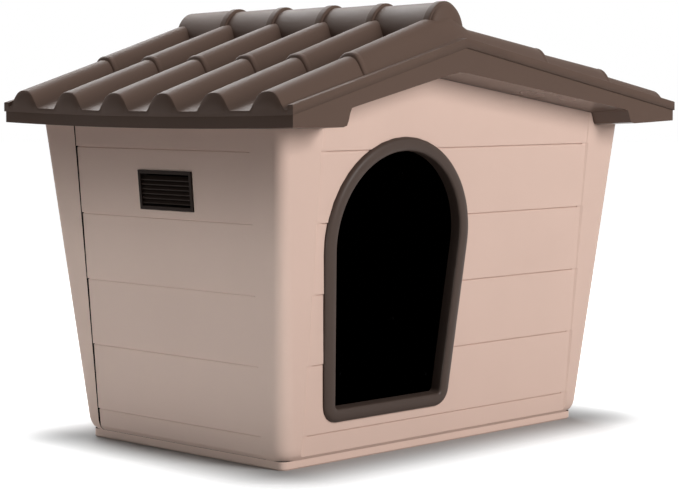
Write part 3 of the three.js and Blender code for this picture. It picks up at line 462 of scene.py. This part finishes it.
# ---- Roof under-frame ----
# The brown moulding under the tiles: fascia all round, soffits, and a lip inside the walls.
# Its two eaves hang down by a few millimetres in the middle of their length.

roof_half_width = 0.3
roof_half_depth = 0.2215
eave_sag = 0.0033
sag_begins = 0.274
sag_width = 0.022
slice_pitch = 0.03
frame_rounding = 0.0006

brown_tone = (0.094, 0.058, 0.043)
brown_patch = (0.087, 0.053, 0.039)
brown = moulded_plastic(
    "brown_plastic",
    tone=brown_tone,
    patch=brown_patch,
    roughness=0.6,
    grain=0.2,
    specular=0.16,
)

under_frame = moulding("roof_frame", "roof_under_frame", frame_rounding)
bm = bmesh.new()
bm.from_mesh(under_frame.data)
for step in range(-6, 7):
    bmesh.ops.bisect_plane(
        bm,
        geom=bm.verts[:] + bm.edges[:] + bm.faces[:],
        plane_co=(0.0, step * slice_pitch, 0.0),
        plane_no=(0.0, 1.0, 0.0),
    )
for vert in bm.verts:
    beyond = min(1.0, max(0.0, (abs(vert.co.x) - sag_begins) / sag_width))
    along = 1.0 - min(1.0, abs(vert.co.y) / roof_half_depth) ** 2
    vert.co.z -= eave_sag * beyond * along
bm.to_mesh(under_frame.data)
bm.free()
under_frame.data.materials.append(brown)
sheen = moulded_plastic(
    "glossy_soffit",
    tone=brown_tone,
    patch=brown_patch,
    roughness=0.3,
    grain=0.1,
    specular=0.6,
)
under_frame.data.materials.append(sheen)
for polygon in under_frame.data.polygons:
    polygon.material_index = 1 if polygon.normal.z < -0.2 else 0
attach(under_frame, "roof")
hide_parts("roof_frame")


# ---- Tile shell ----
# The brown roof moulding: six columns of half-round tiles on each slope, in overlapping courses
# that step down to the eaves, between raised edges along the two gables. It is one thin shell.

peak_x = -0.0565
column_pitch = 0.07464
column_places = [column_pitch * (number - 2.5) for number in range(6)]
tile_half_low = 0.0245
tile_half_high = 0.0225
shell_wall = 0.0022
valley_eave = 0.3555
valley_peak = 0.4249
rim_eave = 0.36
rim_peak = 0.425
skirt_eave = 0.3503
skirt_peak = 0.4153
left_courses = [(-0.3, -0.192, 0.0178, 0.0196), (-0.192, peak_x, 0.0226, 0.0263)]
right_courses = [
    (0.3, 0.202, 0.0175, 0.0158),
    (0.202, 0.093, 0.0215, 0.0168),
    (0.093, peak_x, 0.0211, 0.0154),
]


def gable_line(x, eave, peak):
    """The height at x of a line from each eave to the peak."""
    reach = peak_x + roof_half_width if x < peak_x else roof_half_width - peak_x
    return peak - (peak - eave) * abs(x - peak_x) / reach


def sag_at(x, y):
    """How far the eaves' sag has the shell hang down there."""
    reach = peak_x + roof_half_width if x < peak_x else roof_half_width - peak_x
    return eave_sag * (abs(x - peak_x) / reach) ** 2 * (1.0 - min(1.0, abs(y) / roof_half_depth) ** 2)


def slope_stations(courses):
    """Places across a slope, each with its x and the columns' rise and half width there."""
    stations = []
    for number, (low, high, rise_low, rise_high) in enumerate(courses):
        way = 1.0 if high > low else -1.0
        length = abs(high - low)
        nose = [(0.0, -0.0007), (0.0003, -0.0002), (0.001, 0.0), (0.003, 0.0)]
        if number:
            nose = [(0.0, -0.0018), (0.0003, -0.0006), (0.0011, 0.0002), (0.0024, 0.0005),
                    (0.0042, 0.0002), (0.0056, -0.0004), (0.0072, -0.0003), (0.009, 0.0)]
        inner = [length * share for share in (0.2, 0.4, 0.6, 0.8)]
        last = length - (0.0004 if number < len(courses) - 1 else 0.0)
        for along, extra in nose + [(place, 0.0) for place in inner] + [(last, 0.0)]:
            share = along / length
            rise = rise_low + (rise_high - rise_low) * share + extra
            half = tile_half_low + (tile_half_high - tile_half_low) * share + extra * 0.5
            stations.append((low + way * along, rise, half))
    return stations


left_stations = slope_stations(left_courses)
right_stations = slope_stations(right_courses)
across = left_stations + right_stations[-2::-1]

rim_edges = [0.2215, 0.2213, 0.2208, 0.22, 0.2147, 0.2142, 0.2139, 0.2136]
rim_shares = [0.7, 0.9, 0.98, 1.0, 1.0, 0.8, 0.25, 0.0]
arc_shares = [1.0, 0.985, 0.96, 0.92, 0.86, 0.78, 0.68, 0.57, 0.45, 0.32, 0.16, 0.0]
along = [-place for place in rim_edges]
for place in column_places:
    for share in arc_shares:
        along.append(place - share * tile_half_low)
    for share in arc_shares[-2::-1]:
        along.append(place + share * tile_half_low)
along += rim_edges[::-1]
along.sort()


def shell_height(station, y):
    """The shell's height: the valley line, the tile columns on it, and the rims at the gables."""
    x, rise, half = station
    height = gable_line(x, valley_eave, valley_peak)
    for place in column_places:
        share = abs(y - place) / half
        if share < 1.0:
            height += rise * (1.0 - share ** 3) ** 1.7
    for edge, share in zip(rim_edges, rim_shares):
        if abs(abs(y) - edge) < 0.00001:
            height += share * max(0.0, gable_line(x, rim_eave, rim_peak) - height)
    return height - sag_at(x, y)


def border_corners(bm):
    """Draws a mesh's open border out as a skirt, and gives the corners at the skirt's foot."""
    border = [edge for edge in bm.edges if edge.is_boundary]
    made = bmesh.ops.extrude_edge_only(bm, edges=border)["geom"]
    return [item for item in made if isinstance(item, bmesh.types.BMVert)]


def thin_walled(piece):
    """Gives a piece of the shell its wall, inwards."""
    thickness = piece.modifiers.new("wall_thickness", "SOLIDIFY")
    thickness.thickness = shell_wall
    thickness.offset = -1.0
    thickness.use_even_offset = False


bm = bmesh.new()
bmesh.ops.create_grid(bm, x_segments=len(across) - 1, y_segments=len(along) - 1, size=1.0)
for vert in bm.verts:
    column = round((vert.co.x + 1.0) / 2.0 * (len(across) - 1))
    row = round((vert.co.y + 1.0) / 2.0 * (len(along) - 1))
    x = across[column][0]
    y = along[row]
    vert.co = (x, y, shell_height(across[column], y))

for vert in border_corners(bm):
    skirt = gable_line(vert.co.x, skirt_eave, skirt_peak)
    vert.co.z = skirt - sag_at(vert.co.x, vert.co.y)
bmesh.ops.recalc_face_normals(bm, faces=bm.faces)
shade_smooth(bm, 42)
shell = made_of(bm, "tile_shell", brown)
thin_walled(shell)
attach(shell, "roof")
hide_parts("roof_shell")


# ---- Ridge cap ----
# Five tapered half-barrels in a row, with a narrow collar at each joint and a blunt dome at each
# end. They are taller than wide, and moulded in one with the tile shell, over the peak.

ridge_height = 0.4285
small_radius = 0.0312
large_radius = 0.0331
collar_radius = 0.0343
cap_narrow = 0.78
collar_length = 0.01
dome_start = 0.192
dome_length = 0.006
dome_power = 2.0 / 2.6
dome_rings = 12
front_radius = large_radius - 0.0006
edge_gap = 0.0002
collar_edge = [(0.0002, 0.0006), (0.001, 0.0001), (0.002, 0.0)]
joints = [column_pitch * (1.5 - number) for number in range(4)] + [-dome_start]


def dome_ring(number, radius):
    """One ring of a dome: how far it is past the dome's start, and its radius."""
    turn = math.pi / 2 * number / dome_rings
    past = dome_length * math.sin(turn) ** dome_power
    return past, radius * max(0.0, math.cos(turn)) ** dome_power


profile = []
for number in range(dome_rings, 0, -1):
    past, radius = dome_ring(number, small_radius)
    profile.append((dome_start + past, radius))
profile.append((dome_start, small_radius))
for joint in joints:
    ahead = joint + collar_length
    profile.append((ahead + 0.0003, large_radius))
    for along, lower in collar_edge:
        profile.append((ahead - along, collar_radius - lower))
    for along, lower in collar_edge[::-1]:
        profile.append((joint + along, collar_radius - lower))
    profile.append((joint - edge_gap, small_radius if joint > -dome_start else front_radius))
for number in range(1, dome_rings + 1):
    past, radius = dome_ring(number, front_radius)
    profile.append((-(dome_start + edge_gap + past), radius))

bm = bmesh.new()
row_of_edges(bm, [(peak_x + radius, y, ridge_height) for y, radius in profile])
bmesh.ops.spin(
    bm,
    geom=bm.verts[:] + bm.edges[:],
    cent=(peak_x, 0.0, ridge_height),
    axis=(0.0, 1.0, 0.0),
    angle=-math.pi,
    steps=28,
)
bmesh.ops.remove_doubles(bm, verts=bm.verts, dist=0.00002)
for vert in bm.verts:
    vert.co.x = peak_x + (vert.co.x - peak_x) * cap_narrow
cap_foot = gable_line(peak_x + 0.03, valley_eave, valley_peak)
for vert in border_corners(bm):
    vert.co.z = cap_foot
bmesh.ops.remove_doubles(bm, verts=bm.verts, dist=0.00002)
bmesh.ops.recalc_face_normals(bm, faces=bm.faces)
shade_smooth(bm, 50)
cap = made_of(bm, "ridge_cap", brown)
thin_walled(cap)
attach(cap, "roof")
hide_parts("roof_shell")


# ---- Screws ----
# Zinc-plated pan-head screws, given a near-black painted shade since they sit in the shaded inside
# and under the eaves. Eight hold the side walls to the corner posts, eight the walls to the tray's
# upstand, all from inside, and six join the under-frame to the tile shell from below.

screw_metal_painted_shade = bpy.data.materials.new("zinc_plate")
screw_metal_painted_shade.use_nodes = True
nodes = screw_metal_painted_shade.node_tree.nodes
links = screw_metal_painted_shade.node_tree.links
shader = nodes["Principled BSDF"]
shader.inputs["Metallic"].default_value = 1.0
coordinates = nodes.new("ShaderNodeTexCoord")
cloud = nodes.new("ShaderNodeTexNoise")
cloud.inputs["Scale"].default_value = 400.0
plate = nodes.new("ShaderNodeValToRGB")
# Painted shade: a near-black plate colour, so that the screws vanish into the shaded inside.
plate.color_ramp.elements[0].color = (0.02, 0.02, 0.022, 1.0)
plate.color_ramp.elements[1].color = (0.035, 0.035, 0.038, 1.0)
polish = nodes.new("ShaderNodeMapRange")
polish.inputs["To Min"].default_value = 0.28
polish.inputs["To Max"].default_value = 0.42
links.new(coordinates.outputs["Object"], cloud.inputs["Vector"])
links.new(cloud.outputs["Fac"], plate.inputs["Fac"])
links.new(plate.outputs["Color"], shader.inputs["Base Color"])
links.new(cloud.outputs["Fac"], polish.inputs["Value"])
links.new(polish.outputs["Result"], shader.inputs["Roughness"])

head_radius = 0.004
head_height = 0.0022
shank_radius = 0.0015
outward = {
    "front": wall_out,
    "rear": Vector((0.0, 1.0, -wall_lean)) / face_scale,
    "left": Vector((-1.0, 0.0, -wall_lean)) / face_scale,
    "right": Vector((1.0, 0.0, -wall_lean)) / face_scale,
    "roof": Vector((0.0, 0.0, 1.0)),
}


def screw(name, node, point, body):
    """A screw at its CAD node's place, with its tip in the direction of point."""
    corners = [vert.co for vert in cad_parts[node].data.vertices]
    middle = sum(corners, Vector()) / len(corners)
    reach = [(corner - middle).dot(point) for corner in corners]
    tip = max(reach)
    length = tip - min(reach) - head_height
    outline = [
        (0.0, -head_height),
        (head_radius * 0.55, -head_height * 0.97),
        (head_radius * 0.8, -head_height * 0.82),
        (head_radius * 0.96, -head_height * 0.5),
        (head_radius, -head_height * 0.2),
        (head_radius, 0.0),
        (shank_radius, 0.0),
        (shank_radius, length - shank_radius),
        (shank_radius * 0.4, length),
        (0.0, length),
    ]
    bm = bmesh.new()
    row_of_edges(bm, [(across, 0.0, down) for across, down in outline])
    bmesh.ops.spin(
        bm,
        geom=bm.verts[:] + bm.edges[:],
        cent=(0.0, 0.0, 0.0),
        axis=(0.0, 0.0, 1.0),
        angle=math.tau,
        steps=16,
        use_merge=True,
    )
    bmesh.ops.remove_doubles(bm, verts=bm.verts, dist=0.00001)
    bmesh.ops.recalc_face_normals(bm, faces=bm.faces)
    shade_smooth(bm, 40)
    seat = Matrix.Translation(middle + point * (tip - length))
    turn = Vector((0.0, 0.0, 1.0)).rotation_difference(point).to_matrix().to_4x4()
    bmesh.ops.transform(bm, matrix=seat @ turn, verts=bm.verts)
    piece = made_of(bm, name, screw_metal_painted_shade)
    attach(piece, body)
    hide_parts(node)


for side in ("left", "right"):
    for end in ("front", "rear"):
        for number in ("1", "2"):
            place = end + "_" + side + "_" + number
            screw("corner_fixing_" + place, "corner_screw_" + place, outward[side], "house")
for side in ("front", "rear", "left", "right"):
    for number in ("1", "2"):
        place = side + "_" + number
        screw("floor_fixing_" + place, "floor_screw_" + place, outward[side], "house")
for number in range(1, 7):
    screw(f"roof_fixing_{number}", f"roof_screw_{number}", outward["roof"], "roof")
